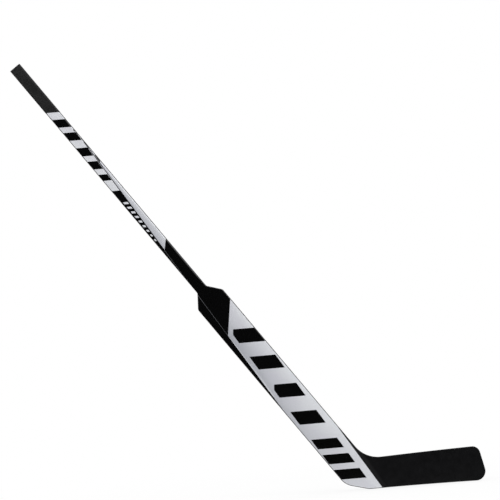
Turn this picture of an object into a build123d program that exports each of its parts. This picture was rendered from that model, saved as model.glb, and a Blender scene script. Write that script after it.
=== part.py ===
from build123d import *
import math
import os

# Goaltender's ice hockey stick in laminated wood and foam core construction, millimetres and degrees.
#
# The stick stands on its sole. +X runs along the sole towards the toe, +Z is up, and the front face,
# which is the hollow side of the blade, looks towards -Y. The origin is where the shaft's centre line
# meets the plane of the sole, at mid-thickness.
#
# Places on the shaft and the paddle are given as a station, measured up the centre line from the origin,
# and an offset across it, positive towards the toe.

# --- Whole stick -------------------------------------------------------------------------------------
LIE_ANGLE = 54.8  # between the sole and the shaft
BUTT_STATION = 1459.0  # square-cut top end of the shaft
EDGE_RADIUS = 3.0  # along every rim of the paddle and the blade

# --- Shaft -------------------------------------------------------------------------------------------
SHAFT_WIDTH = 30.5
SHAFT_THICKNESS = 21.0
SHAFT_CORNER_RADIUS = 5.0
SHAFT_SIDE_PLY = 6.0  # hardwood ply glued to each edge of the centre ply
SHAFT_LAMINATE = 0.8  # reinforcing sheet on each wide face
GRIP_LENGTH = 156.0  # along the centre line; its lower edge is parallel to the ice
GRIP_THICKNESS = 0.4

# --- Shoulders and paddle ----------------------------------------------------------------------------
PADDLE_WIDTH = 85.0
PADDLE_LAMINATE = 1.0  # skin on each face, over the shaft as well
PADDLE_EDGE_STRIP = 9.0
SHOULDER_STATION = 655.0  # where the paddle reaches its full width
SHOULDER_RISE = 35.0  # from there up to the shaft's own width
SHOULDER_OUTER_RADIUS = 13.0
SHOULDER_INNER_RADIUS = 9.5
SHOULDER_BLOCK_DEPTH = 30.0  # of each shoulder block below the full-width station
NECK_LAP = 15.0  # by which the paddle's skins lap up the shaft above the shoulders

# --- Heel --------------------------------------------------------------------------------------------
HEEL_CUT_ANGLE = 15.0  # of the flat cut that lifts the heel off the ice
HEEL_CUT_START = -2.0  # distance along the sole at which the cut leaves it
HEEL_RADIUS = 52.0  # between the cut and the paddle's edge
HEEL_JOINT_STATION = 80.0  # flat top of the heel block
TENON_LENGTH = 45.0
TENON_THICKNESS = 12.0
GLUE_GAP = 0.1  # on each side of a housed joint, and at its end

# --- Step from the paddle's thickness down to the blade's ----------------------------------------------
STEP_STATION = 206.0  # where the upper edge of the step leaves the paddle's toe-side edge
STEP_TILT = 3.7  # the step leans this much further towards the toe than the shaft
STEP_RUN = 13.0  # width of the slope

# --- Blade -------------------------------------------------------------------------------------------
BLADE_THICKNESS = 12.0
BLADE_LAMINATE = 1.0
BLADE_HEIGHT = 80.5  # top edge above the sole at the origin
BLADE_TOP_RISE = 2.0  # angle by which the top edge climbs towards the toe
BLADE_TOP_FILLET = 78.0  # between the paddle's edge and the top of the blade
BLADE_LENGTH = 313.0  # along the sole, from the origin to the virtual corner of the toe, seen from the front
BLADE_STRAIGHT = 8.5  # straight stretch of the sole between the step and the start of the curve
BLADE_CURVE_RADIUS = 700.0
TOE_RAKE = 12.0  # lean of the toe's end from upright
TOE_LOWER_RADIUS = 25.0
TOE_UPPER_RADIUS = 20.0
TOE_BAND_LENGTH = 40.0  # from the virtual corner of the toe back to the band's ends
BLADE_BAND = 10.0  # width of the strips round the blade's cores
RIB_CENTRE_HEIGHT = 40.0
RIB_HEIGHT = 4.0
RIB_SOCKET = 28.0  # depth of the rib's slot in the heel block
RIB_HOUSING = 4.0  # depth of the rib's slot in the toe band

REACH = 2000.0  # longer than any piece: half-size of a cutting block that has no limit of its own
SPARE_SWEEP = 2.0  # angle by which the blade's sheet runs on past the toe before it is cut to shape
TOLERANCE = 0.01  # for telling whether a face or an edge lies where it should

# --- Directions and planes ---------------------------------------------------------------------------
LIE = math.radians(LIE_ANGLE)
UP_SHAFT = Vector(-math.cos(LIE), 0, math.sin(LIE))
ACROSS_SHAFT = Vector(math.sin(LIE), 0, math.cos(LIE))
BACKWARD = Vector(0, 1, 0)

# In both planes local x runs up, local y towards the toe and local z backward, through the thickness.
STICK = Plane(origin=(0, 0, 0), x_dir=UP_SHAFT, z_dir=BACKWARD)
STEP = Plane(
    origin=UP_SHAFT * STEP_STATION + ACROSS_SHAFT * PADDLE_WIDTH / 2,
    x_dir=UP_SHAFT.rotate(Axis.Y, STEP_TILT),
    z_dir=BACKWARD,
)

PADDLE_HALF = SHAFT_THICKNESS / 2 + PADDLE_LAMINATE
BLADE_HALF = BLADE_THICKNESS / 2
PADDLE_CORE_HALF = PADDLE_HALF - PADDLE_LAMINATE
BLADE_CORE_HALF = BLADE_HALF - BLADE_LAMINATE
NECK_STATION = SHOULDER_STATION + SHOULDER_RISE + NECK_LAP
SHOULDER_BLOCK_STATION = SHOULDER_STATION - SHOULDER_BLOCK_DEPTH
STEP_END = STEP.origin + STEP.y_dir * STEP_RUN
BLADE_CURVE_START = (STEP_END - STEP.x_dir * STEP_END.Z / STEP.x_dir.Z).X + BLADE_STRAIGHT


# --- Helpers -----------------------------------------------------------------------------------------
def on_face(station, offset):
    """Front-view point (x, z) at a station up the shaft and an offset across it."""
    place = UP_SHAFT * station + ACROSS_SHAFT * offset
    return (place.X, place.Z)


def block(frame, low, high):
    """Rectangular block between two corners given in a plane's own axes."""
    size = [b - a for a, b in zip(low, high)]
    centre = [(a + b) / 2 for a, b in zip(low, high)]
    return frame * Pos(*centre) * Box(*size)


def layer(front, back):
    """Everything between two depths: negative is in front of the middle plane, positive behind it."""
    return block(Plane.XY, (-REACH, front, -REACH), (REACH, back, REACH))


def stations(low, high, inner=-REACH, outer=REACH, half=REACH):
    """Everything between two stations and two offsets, up to half a thickness from the middle plane."""
    return block(STICK, (low, inner, -half), (high, outer, half))


def beyond_step(distance):
    """Everything on the toe side of a line parallel to the step, at a distance from its upper edge."""
    return block(STEP, (-REACH, distance, -REACH), (REACH, REACH, REACH))


def heights(low, high):
    """Everything between two heights above the ice."""
    return block(Plane.XY, (-REACH, -REACH, low), (REACH, REACH, high))


def lengths(low, high):
    """Everything between two distances along the sole."""
    return block(Plane.XY, (low, -REACH, -REACH), (high, REACH, REACH))


# --- Outlines ----------------------------------------------------------------------------------------
def front_outline():
    """Outline of the shoulders, paddle, heel and blade, seen from the front, closed across the neck."""
    half, neck = PADDLE_WIDTH / 2, SHAFT_WIDTH / 2
    rise, rake = math.tan(math.radians(BLADE_TOP_RISE)), math.tan(math.radians(TOE_RAKE))
    crook_station = (BLADE_HEIGHT + half * (ACROSS_SHAFT.X * rise - ACROSS_SHAFT.Z)) / (
        UP_SHAFT.Z - UP_SHAFT.X * rise
    )
    toe_height = (BLADE_HEIGHT + rise * BLADE_LENGTH) / (1 + rise * rake)
    cut = math.tan(math.radians(HEEL_CUT_ANGLE))
    cut_station = (half * ACROSS_SHAFT.Z + cut * (HEEL_CUT_START + half * ACROSS_SHAFT.X)) / (
        UP_SHAFT.Z + cut * UP_SHAFT.X
    )
    corners = [
        (on_face(NECK_STATION, -neck), 0),
        (on_face(SHOULDER_STATION + SHOULDER_RISE, -neck), SHOULDER_INNER_RADIUS),
        (on_face(SHOULDER_STATION, -half), SHOULDER_OUTER_RADIUS),
        (on_face(cut_station, -half), HEEL_RADIUS),
        ((HEEL_CUT_START, 0), 0),
        ((BLADE_LENGTH, 0), TOE_LOWER_RADIUS),
        ((BLADE_LENGTH - rake * toe_height, toe_height), TOE_UPPER_RADIUS),
        (on_face(crook_station, half), BLADE_TOP_FILLET),
        (on_face(SHOULDER_STATION, half), SHOULDER_OUTER_RADIUS),
        (on_face(SHOULDER_STATION + SHOULDER_RISE, neck), SHOULDER_INNER_RADIUS),
        (on_face(NECK_STATION, neck), 0),
    ]
    points = [point for point, _ in corners]
    radii = [radius for _, radius in corners]
    return Plane.XZ * make_face(FilletPolyline(*points, radius=radii, close=True))


def blade_sheet(front, back):
    """Sheet of the blade between two depths: straight at the heel, then curved forward to the toe."""
    centre = (BLADE_CURVE_START, -BLADE_CURVE_RADIUS)
    to_toe = math.degrees(math.asin((BLADE_LENGTH - BLADE_CURVE_START) / BLADE_CURVE_RADIUS))
    sweep = -to_toe - SPARE_SWEEP
    front_arc = CenterArc(centre, BLADE_CURVE_RADIUS + front, 90, sweep)
    back_arc = CenterArc(centre, BLADE_CURVE_RADIUS + back, 90, sweep)
    plan = [
        Line((-REACH, front), (BLADE_CURVE_START, front)),
        front_arc,
        Line(front_arc @ 1, back_arc @ 1),
        back_arc,
        Line((BLADE_CURVE_START, back), (-REACH, back)),
        Line((-REACH, back), (-REACH, front)),
    ]
    return extrude(make_face(plan), REACH)


def step_slope(paddle_half, blade_half):
    """Wedge that slopes, on both faces, from the paddle's thickness down to the blade's."""
    profile = Polygon(
        (0, -paddle_half), (STEP_RUN, -blade_half), (STEP_RUN, blade_half), (0, paddle_half), align=None
    )
    across = Plane(origin=STEP.origin, x_dir=STEP.y_dir, z_dir=-STEP.x_dir)
    return extrude(across * profile, REACH, both=True)


# --- Forms that the pieces are cut from --------------------------------------------------------------
def rounded_rims(form):
    """Rounds the rims of the front and back faces, all the way round from neck to neck."""
    rims = []
    for face in form.faces():
        if abs(face.normal_at().Y) < TOLERANCE:
            rims += [edge for edge in face.edges() if is_rim(edge)]
    return fillet(rims, EDGE_RADIUS)


def is_rim(edge):
    """Whether an edge of a side wall runs along the outline, and not through the thickness or the neck."""
    along = abs((edge % 0.5).Y) < math.cos(math.radians(45))
    return along and (edge @ 0.5).dot(UP_SHAFT) < NECK_STATION - TOLERANCE


def outer_form():
    """Outer form of the neck, shoulders, paddle, heel and blade."""
    outline = extrude(front_outline(), REACH, both=True)
    return rounded_rims(outline & thickness(PADDLE_HALF, BLADE_HALF))


def thickness(paddle_half, blade_half):
    """Everything within the paddle's thickness, then the slope, then the blade's curved sheet."""
    paddle = layer(-paddle_half, paddle_half) - beyond_step(0)
    blade = blade_sheet(-blade_half, blade_half) & beyond_step(STEP_RUN)
    return paddle + step_slope(paddle_half, blade_half) + blade


def shaft_form():
    """Outer form of the shaft: square inside the paddle, with rounded corners above it."""
    section = Plane(origin=UP_SHAFT * NECK_STATION, x_dir=ACROSS_SHAFT, z_dir=UP_SHAFT)
    rounded = section * RectangleRounded(SHAFT_WIDTH, SHAFT_THICKNESS, SHAFT_CORNER_RADIUS)
    return extrude(rounded, BUTT_STATION - NECK_STATION)


# --- Pieces ------------------------------------------------------------------------------------------
def shaft_pieces(paddle_core):
    """The three plies and two laminates of the shaft, which runs down through the paddle."""
    half, centre = SHAFT_WIDTH / 2, SHAFT_WIDTH / 2 - SHAFT_SIDE_PLY
    depth = SHAFT_THICKNESS / 2 - SHAFT_LAMINATE
    inside = stations(HEEL_JOINT_STATION, NECK_STATION, -half, half) & paddle_core
    form = shaft_form() + inside
    plies = form & layer(-depth, depth)
    tenon = stations(
        HEEL_JOINT_STATION - TENON_LENGTH, HEEL_JOINT_STATION, -centre, centre, TENON_THICKNESS / 2
    )
    return {
        "shaft_core_ply": (plies & stations(-REACH, REACH, -centre, centre)) + tenon,
        "shaft_heel_side_ply": plies & stations(-REACH, REACH, -half, -centre),
        "shaft_toe_side_ply": plies & stations(-REACH, REACH, centre, half),
        "shaft_front_laminate": form & layer(-REACH, -depth),
        "shaft_back_laminate": form & layer(depth, REACH),
    }


def grip_sleeve():
    """Thin textured skin round the top of the shaft, with its lower edge parallel to the ice."""
    section = Plane(origin=UP_SHAFT * BUTT_STATION, x_dir=ACROSS_SHAFT, z_dir=-UP_SHAFT)
    wall = RectangleRounded(
        SHAFT_WIDTH + 2 * GRIP_THICKNESS,
        SHAFT_THICKNESS + 2 * GRIP_THICKNESS,
        SHAFT_CORNER_RADIUS + GRIP_THICKNESS,
    ) - RectangleRounded(SHAFT_WIDTH, SHAFT_THICKNESS, SHAFT_CORNER_RADIUS)
    lower_edge = on_face(BUTT_STATION - GRIP_LENGTH, 0)[1]
    return extrude(section * wall, GRIP_LENGTH + SHAFT_WIDTH) & heights(lower_edge, REACH)


def paddle_pieces(core):
    """Shoulder blocks, foam cores and edge strips on both sides of the shaft."""
    shaft, strip = SHAFT_WIDTH / 2, PADDLE_WIDTH / 2 - PADDLE_EDGE_STRIP
    pieces = {}
    for side, sign in (("heel_side", -1), ("toe_side", 1)):
        spans = {
            "shoulder": (SHOULDER_BLOCK_STATION, NECK_STATION, shaft, REACH),
            "core": (HEEL_JOINT_STATION, SHOULDER_BLOCK_STATION, shaft, strip),
            "edge_strip": (HEEL_JOINT_STATION, SHOULDER_BLOCK_STATION, strip, REACH),
        }
        for name, (low, high, inner, outer) in spans.items():
            near, far = sorted((sign * inner, sign * outer))
            pieces[f"paddle_{side}_{name}"] = core & stations(low, high, near, far)
    return pieces


def heel_block(core):
    """Block below the paddle's cores, with the mortise for the shaft and the slot for the rib."""
    mortise = stations(
        HEEL_JOINT_STATION - TENON_LENGTH - GLUE_GAP,
        HEEL_JOINT_STATION,
        SHAFT_SIDE_PLY - SHAFT_WIDTH / 2 - GLUE_GAP,
        SHAFT_WIDTH / 2 - SHAFT_SIDE_PLY + GLUE_GAP,
        TENON_THICKNESS / 2 + GLUE_GAP,
    )
    half_slot = RIB_HEIGHT / 2 + GLUE_GAP
    slot = (
        blade_sheet(-BLADE_CORE_HALF - GLUE_GAP, BLADE_CORE_HALF + GLUE_GAP)
        & heights(RIB_CENTRE_HEIGHT - half_slot, RIB_CENTRE_HEIGHT + half_slot)
        & beyond_step(STEP_RUN - RIB_SOCKET - GLUE_GAP)
    )
    return (core & stations(-REACH, HEEL_JOINT_STATION)) - mortise - slot


def blade_pieces(blade):
    """Strips round the blade's edge, its two foam cores and the rib between them."""
    core = blade_sheet(-BLADE_CORE_HALF, BLADE_CORE_HALF)
    inside = extrude(offset(front_outline(), -BLADE_BAND), REACH, both=True)
    band = (blade & core) - inside
    toe_start = BLADE_LENGTH - TOE_BAND_LENGTH
    rib_low, rib_high = RIB_CENTRE_HEIGHT - RIB_HEIGHT / 2, RIB_CENTRE_HEIGHT + RIB_HEIGHT / 2
    rib_zone = core & heights(rib_low, rib_high) & beyond_step(STEP_RUN - RIB_SOCKET)
    housed = extrude(offset(front_outline(), RIB_HOUSING - BLADE_BAND), REACH, both=True)
    rib = rib_zone & housed
    foam = blade & core & inside
    return {
        "blade_runner": band & heights(-REACH, RIB_CENTRE_HEIGHT) & lengths(-REACH, toe_start),
        "blade_top_strip": band & heights(RIB_CENTRE_HEIGHT, REACH) & lengths(-REACH, toe_start),
        "blade_toe_band": (band & lengths(toe_start, REACH)) - rib,
        "blade_rib": rib,
        "blade_lower_core": foam & heights(-REACH, rib_low),
        "blade_upper_core": foam & heights(rib_high, REACH),
    }


def paddle_skins(paddle, core):
    """Front and back laminates of the paddle: what its outer form holds beyond its core."""
    skin = paddle - core
    return {
        "paddle_front_laminate": skin & layer(-REACH, 0),
        "paddle_back_laminate": skin & layer(0, REACH),
    }


def blade_skins(blade):
    """Front and back laminates of the curved blade."""
    return {
        "blade_front_laminate": blade & blade_sheet(-BLADE_HALF, -BLADE_CORE_HALF),
        "blade_back_laminate": blade & blade_sheet(BLADE_CORE_HALF, BLADE_HALF),
    }


def build():
    """All pieces of the stick, by node name."""
    form = outer_form()
    paddle, blade = form - beyond_step(STEP_RUN), form & beyond_step(STEP_RUN)
    core = paddle & thickness(PADDLE_CORE_HALF, BLADE_CORE_HALF)
    pieces = shaft_pieces(core)
    pieces["grip_sleeve"] = grip_sleeve()
    pieces.update(paddle_pieces(core))
    pieces.update(paddle_skins(paddle, core))
    pieces["heel_block"] = heel_block(core)
    pieces.update(blade_pieces(blade))
    pieces.update(blade_skins(blade))
    return pieces


os.makedirs("parts", exist_ok=True)
for node, shape in build().items():
    export_step(shape, f"parts/{node}.step")
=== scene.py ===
"""Goaltender's stick: paint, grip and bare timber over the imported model, in a plain white studio.

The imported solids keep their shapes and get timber, foam and laminate finishes. Over them lie three thin
coats of paint, for the shaft, the paddle and the blade, and a pebbled sleeve stands for the grip.
Sizes of the stick's form are in millimetres, as a stick maker writes them, and meshes are in metres.
"""

import logging
import math
from dataclasses import dataclass, field
from enum import Enum

import bpy
import numpy as np
from mathutils import Matrix, Vector
from mathutils.geometry import delaunay_2d_cdt


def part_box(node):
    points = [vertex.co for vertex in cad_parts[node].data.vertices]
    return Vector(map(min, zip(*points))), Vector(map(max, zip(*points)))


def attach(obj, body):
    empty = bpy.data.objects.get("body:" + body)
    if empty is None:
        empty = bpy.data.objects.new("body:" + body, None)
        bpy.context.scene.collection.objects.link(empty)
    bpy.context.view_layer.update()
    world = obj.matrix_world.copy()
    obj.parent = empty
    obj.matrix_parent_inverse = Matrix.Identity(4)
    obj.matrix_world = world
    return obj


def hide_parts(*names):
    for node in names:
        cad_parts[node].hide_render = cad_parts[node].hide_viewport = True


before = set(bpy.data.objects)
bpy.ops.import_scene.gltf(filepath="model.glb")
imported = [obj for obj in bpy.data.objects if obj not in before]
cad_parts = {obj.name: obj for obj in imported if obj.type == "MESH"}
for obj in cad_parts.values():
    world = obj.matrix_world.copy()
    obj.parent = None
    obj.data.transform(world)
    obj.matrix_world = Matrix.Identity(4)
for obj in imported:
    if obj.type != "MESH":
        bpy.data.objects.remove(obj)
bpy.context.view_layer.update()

LOG = logging.getLogger("stick")
MM = 0.001
NEAR = 1e-6
BODY = "root"
Point = tuple[float, float]
Triple = tuple[float, float, float]
Colour = Triple
Face = tuple[int, ...]
Socket = bpy.types.NodeSocket
Feed = Socket | float | str | Triple
Feeds = dict[str | int, Feed]
Walk = list[tuple[np.ndarray, np.ndarray]]


# --- Form of the stick --------------------------------------------------------------------------------
@dataclass(frozen=True)
class StickPlan:
    """Sizes of the outer form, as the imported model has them.

    Places are front-view points (x, z), or a station up the centre line and an offset towards the toe.
    """

    lie: float = math.radians(54.8)
    butt: float = 1459.0
    shaft_half_width: float = 15.25
    shaft_half: float = 10.5
    shaft_rim: float = 5.0
    neck: float = 705.0
    neck_fade: float = 22.0
    paddle_half_width: float = 42.5
    paddle_half: float = 11.5
    rim: float = 3.0
    shoulder: float = 655.0
    shoulder_top: float = 690.0
    shoulder_outer_radius: float = 13.0
    shoulder_inner_radius: float = 9.5
    heel_cut: float = math.tan(math.radians(15.0))
    heel_cut_start: float = -2.0
    heel_cut_radius: float = 12.0
    heel_radius: float = 52.0
    step: float = 206.0
    step_tilt: float = math.radians(3.7)
    step_run: float = 13.0
    step_top_ease: float = 1.0
    step_foot_ease: float = 2.5
    blade_half: float = 6.0
    blade_height: float = 80.5
    blade_rise: float = math.tan(math.radians(2.0))
    blade_length: float = 313.0
    blade_straight: float = 8.5
    blade_curve: float = 700.0
    crook_radius: float = 78.0
    toe_rake: float = math.tan(math.radians(12.0))
    toe_lower_radius: float = 25.0
    toe_upper_radius: float = 20.0

    @property
    def up(self) -> np.ndarray:
        """Direction up the centre line, seen from the front."""
        return np.array([-math.cos(self.lie), math.sin(self.lie)])

    @property
    def across(self) -> np.ndarray:
        """Direction across the stick towards the toe, seen from the front."""
        return np.array([math.sin(self.lie), math.cos(self.lie)])

    @property
    def down_step(self) -> np.ndarray:
        """Direction in which the step falls towards the blade, seen from the front."""
        return -math.sin(self.step_tilt) * self.up + math.cos(self.step_tilt) * self.across

    @property
    def along_step(self) -> np.ndarray:
        """Direction up the step's edge, seen from the front."""
        return math.cos(self.step_tilt) * self.up + math.sin(self.step_tilt) * self.across

    @property
    def step_start(self) -> np.ndarray:
        """Front-view point at which the step's upper edge meets the paddle's toe-side edge."""
        return self.at(self.step, self.paddle_half_width)

    @property
    def curve_start(self) -> float:
        """Distance along the sole at which the blade begins to curve forward."""
        foot = self.step_start + self.step_run * self.down_step
        run = foot[1] / self.along_step[1]
        return float((foot - run * self.along_step)[0]) + self.blade_straight

    def at(self, station: float, offset: float) -> np.ndarray:
        """Front-view point at a station and an offset."""
        return station * self.up + offset * self.across

    def stations(self, points: np.ndarray) -> np.ndarray:
        """Station of each front-view point."""
        return points @ self.up

    def beyond_step(self, points: np.ndarray) -> np.ndarray:
        """Distance of each front-view point past the step's upper edge, negative on the paddle."""
        return (points - self.step_start) @ self.down_step

    def neck_share(self, stations: np.ndarray) -> np.ndarray:
        """How far each station is through the neck, from 0 on the paddle to 1 on the shaft."""
        return np.clip((stations - self.neck) / self.neck_fade, 0.0, 1.0)

    def corners(self) -> list[tuple[np.ndarray, float]]:
        """Corners of the front outline, from the butt round the heel and toe and back.

        Returns:
            Front-view points and radii.
        """
        wide, narrow, rise = self.paddle_half_width, self.shaft_half_width, self.blade_rise
        crook = self.blade_height + wide * (self.across[0] * rise - self.across[1])
        crook /= self.up[1] - self.up[0] * rise
        toe = (self.blade_height + rise * self.blade_length) / (1 + rise * self.toe_rake)
        heel = wide * self.across[1] + self.heel_cut * (self.heel_cut_start + wide * self.across[0])
        heel /= self.up[1] + self.heel_cut * self.up[0]
        return [
            (self.at(self.butt, -narrow), 0.0),
            (self.at(self.shoulder_top, -narrow), self.shoulder_inner_radius),
            (self.at(self.shoulder, -wide), self.shoulder_outer_radius),
            (self.at(heel, -wide), self.heel_radius),
            (np.array([self.heel_cut_start, 0.0]), self.heel_cut_radius),
            (np.array([self.blade_length, 0.0]), self.toe_lower_radius),
            (np.array([self.blade_length - self.toe_rake * toe, toe]), self.toe_upper_radius),
            (self.at(crook, wide), self.crook_radius),
            (self.at(self.shoulder, wide), self.shoulder_outer_radius),
            (self.at(self.shoulder_top, narrow), self.shoulder_inner_radius),
            (self.at(self.butt, narrow), 0.0),
        ]


def ease(share: np.ndarray) -> np.ndarray:
    """Smooth step over shares from 0 to 1."""
    return share * share * (3 - 2 * share)


def unit(vector: np.ndarray) -> np.ndarray:
    """Vector of length one in the same direction."""
    return vector / np.linalg.norm(vector)


def lift(flat: np.ndarray, depth: np.ndarray | float) -> np.ndarray:
    """Rows in three dimensions from front-view rows and their depths."""
    return np.insert(flat, 1, depth, axis=1)


class Run:
    """Straight part of the outline, with the stick on its left."""

    def __init__(self, start: np.ndarray, end: np.ndarray, low: float = -NEAR, more: float = NEAR) -> None:
        """Measures the part.

        Args:
            start: Its first point.
            end: Its last point.
            low: Where along it its reach begins.
            more: How far past its end it reaches.
        """
        self.start, self.end = start, end
        self.length = np.linalg.norm(end - start)
        self.along = unit(end - start)
        self.outward = np.array([self.along[1], -self.along[0]])
        self.reach = (low, self.length + more)

    def depths(self, points: np.ndarray) -> tuple[np.ndarray, np.ndarray]:
        """Depth inside the outline and outward direction at each point.

        Args:
            points: Front-view points, one to a row.

        Returns:
            Depths, infinite for a point that isn't abreast of this part, and outward unit vectors.
        """
        arm = points - self.start
        reach = arm @ self.along
        abreast = (reach >= self.reach[0]) & (reach <= self.reach[1])
        return np.where(abreast, -(arm @ self.outward), np.inf), np.tile(self.outward, (len(points), 1))

    def walk(self, spacing: float) -> Walk:
        """Points along this part, with outward directions, without its last point."""
        count = max(1, math.ceil(self.length / spacing))
        return [(self.start + self.along * self.length * i / count, self.outward) for i in range(count)]


@dataclass(frozen=True)
class Bend:
    """Arc of the outline between two straight parts; its sign is positive where it is convex."""

    centre: np.ndarray
    radius: float
    first: np.ndarray
    last: np.ndarray
    sign: float

    def depths(self, points: np.ndarray) -> tuple[np.ndarray, np.ndarray]:
        """Depth inside the outline and outward direction at each point.

        Args:
            points: Front-view points, one to a row.

        Returns:
            Depths, infinite for a point that isn't abreast of this part, and outward unit vectors.
        """
        arm = points - self.centre
        distance = np.maximum(np.linalg.norm(arm, axis=1), 1e-9)
        middle = unit(self.first + self.last)
        within = (arm @ middle) / distance >= self.first @ middle - 1e-9
        depth = np.where(within, self.sign * (self.radius - distance), np.inf)
        return depth, self.sign * arm / distance[:, None]

    def walk(self, spacing: float) -> Walk:
        """Points along this part, with outward directions, without its last point."""
        turn = math.acos(max(-1.0, min(1.0, float(self.first @ self.last))))
        count = max(3, math.ceil(turn / math.radians(5)), math.ceil(turn * self.radius / spacing))
        side = unit(self.last - self.first * (self.first @ self.last))
        angles = [turn * i / count for i in range(count)]
        arms = [self.first * math.cos(a) + side * math.sin(a) for a in angles]
        return [(self.centre + self.radius * arm, self.sign * arm) for arm in arms]


class Outline:
    """Front outline of the whole stick, open across the butt end."""

    def __init__(self, plan: StickPlan) -> None:
        """Lays out the straight parts and the arcs from the plan's corners."""
        corners = plan.corners()
        self.parts: list[Run | Bend] = []
        start, low = corners[0][0], -np.inf
        for (last, _), (here, radius), (ahead, _) in zip(corners, corners[1:], corners[2:]):
            before, after = unit(here - last), unit(ahead - here)
            sign = 1.0 if before[0] * after[1] > before[1] * after[0] else -1.0
            cut = radius * math.tan(math.acos(float(before @ after)) / 2)
            entry, leave = here - before * cut, here + after * cut
            centre = entry + radius * sign * np.array([-before[1], before[0]])
            arms = [(end - centre) / radius for end in (entry, leave)]
            self.parts += [Run(start, entry, low), Bend(centre, radius, *arms, sign)]
            start, low = leave, -NEAR
        self.parts.append(Run(start, corners[-1][0], more=np.inf))

    def depths(self, points: np.ndarray) -> tuple[np.ndarray, np.ndarray]:
        """Depth inside the outline and outward direction at the nearest place on it.

        Args:
            points: Front-view points, one to a row.

        Returns:
            Depths and outward unit vectors, one for each point.
        """
        best = np.full(len(points), np.inf)
        outward = np.zeros((len(points), 2))
        for part in self.parts:
            depth, direction = part.depths(points)
            nearer = np.abs(depth) < np.abs(best)
            best[nearer] = depth[nearer]
            outward[nearer] = direction[nearer]
        return best, outward

    def walk(self, spacing: float) -> tuple[np.ndarray, np.ndarray]:
        """Points and outward directions along the whole outline, from the butt's heel side to its toe side.

        Args:
            spacing: Longest distance between neighbouring points on a straight part.

        Returns:
            Points and outward unit vectors, one to a row.
        """
        steps = [step for part in self.parts for step in part.walk(spacing)]
        steps.append((self.parts[-1].end, steps[-1][1]))
        return np.array([place for place, _ in steps]), np.array([outward for _, outward in steps])


class Side(Enum):
    """Faces of the stick, by the sign of their depth."""

    FRONT = -1
    BACK = 1


@dataclass
class OuterForm:
    """Surface of the painted stick over its front view: thickness, step, curved blade and round rims."""

    plan: StickPlan
    coat: float = 0.2

    def __post_init__(self) -> None:
        """Lays out the outline."""
        self.outline = Outline(self.plan)

    def rim_radii(self, stations: np.ndarray) -> np.ndarray:
        """Radius of the rims, which grows from the paddle's to the shaft's above the neck."""
        fade = ease(self.plan.neck_share(stations))
        return self.plan.rim + (self.plan.shaft_rim - self.plan.rim) * fade + self.coat

    def depths(self, points: np.ndarray) -> np.ndarray:
        """Depth of each front-view point inside the painted outline."""
        return self.outline.depths(points)[0] + self.coat

    def halves(self, points: np.ndarray) -> tuple[np.ndarray, np.ndarray]:
        """Half of the thickness at each point, and how it changes over the front view.

        Args:
            points: Front-view points, one to a row.

        Returns:
            Half thicknesses, and their gradients along x and z.
        """
        plan = self.plan
        climb = (plan.paddle_half - plan.blade_half) / plan.step_run
        past = plan.beyond_step(points)
        half = plan.paddle_half - climb * np.clip(past, 0, plan.step_run)
        slope = np.where((past > 0) & (past < plan.step_run), -climb, 0.0)
        for level, way, gap, reach in (
            (plan.paddle_half, 1, past, plan.step_top_ease),
            (plan.blade_half, -1, past - plan.step_run, plan.step_foot_ease),
        ):
            near = np.abs(gap) < reach
            bend = reach + way * gap
            half = np.where(near, level - way * climb * bend**2 / (4 * reach), half)
            slope = np.where(near, -climb * bend / (2 * reach), slope)
        fade = plan.neck_share(plan.stations(points))
        drop = plan.paddle_half - plan.shaft_half
        rise = -drop * 6 * fade * (1 - fade) / plan.neck_fade
        return half - drop * ease(fade), slope[:, None] * plan.down_step + rise[:, None] * plan.up

    def face(self, points: np.ndarray, side: Side) -> tuple[np.ndarray, np.ndarray]:
        """Places of front-view points on one face, in three dimensions.

        Args:
            points: Front-view points inside the outline, one to a row.
            side: Front or back.

        Returns:
            Positions and outward unit normals, one to a row.
        """
        plan, sign = self.plan, side.value
        depth, edge = self.outline.depths(points)
        depth = np.maximum(depth + self.coat, 0.0)
        radius = self.rim_radii(plan.stations(points))
        half, gradient = self.halves(points)
        half = half + self.coat
        past = np.maximum(points[:, 0] - plan.curve_start, 0.0)
        flat = lift(-gradient, float(sign))
        lean = np.linalg.norm(flat, axis=1)
        sweep = past / (plan.blade_curve + sign * half)
        bowed = sign * np.stack([sweep, np.sqrt(1 - sweep**2), np.zeros(len(points))], axis=1)
        normal = np.where((past > 0)[:, None], bowed, flat / lean[:, None])
        wall = lift(edge, 0.0)
        meet = np.einsum("ij,ij->i", wall, normal)
        low = np.clip(radius - depth, -radius, radius)
        height = meet * low + np.sqrt((1 - meet**2) * (radius**2 - low**2))
        rounded = depth < radius * (1 - meet)
        sunk = np.where(rounded, radius - height, 0.0)
        by_wall = (low - meet * height) / (1 - meet**2) / radius
        by_face = (height - meet * low) / (1 - meet**2) / radius
        round_normal = by_wall[:, None] * wall + by_face[:, None] * normal
        normal = np.where(rounded[:, None], round_normal, normal)
        out = sign * (half - sunk * np.where(past > 0, 1.0, lean))
        bowed_y = np.sqrt((plan.blade_curve + out) ** 2 - past**2) - plan.blade_curve
        normal = normal / np.linalg.norm(normal, axis=1)[:, None]
        return lift(points, np.where(past > 0, bowed_y, out)), normal


# --- Livery -------------------------------------------------------------------------------------------
class Paint(Enum):
    """Paints of the livery, in the order of the coats' material slots."""

    BLACK = 0
    SILVER = 1
    GREY = 2
    SATIN = 3


@dataclass(frozen=True)
class PaintedShape:
    """One masked shape of the livery; a later shape lies over an earlier one."""

    paint: Paint
    corners: tuple[Point, ...]


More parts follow.
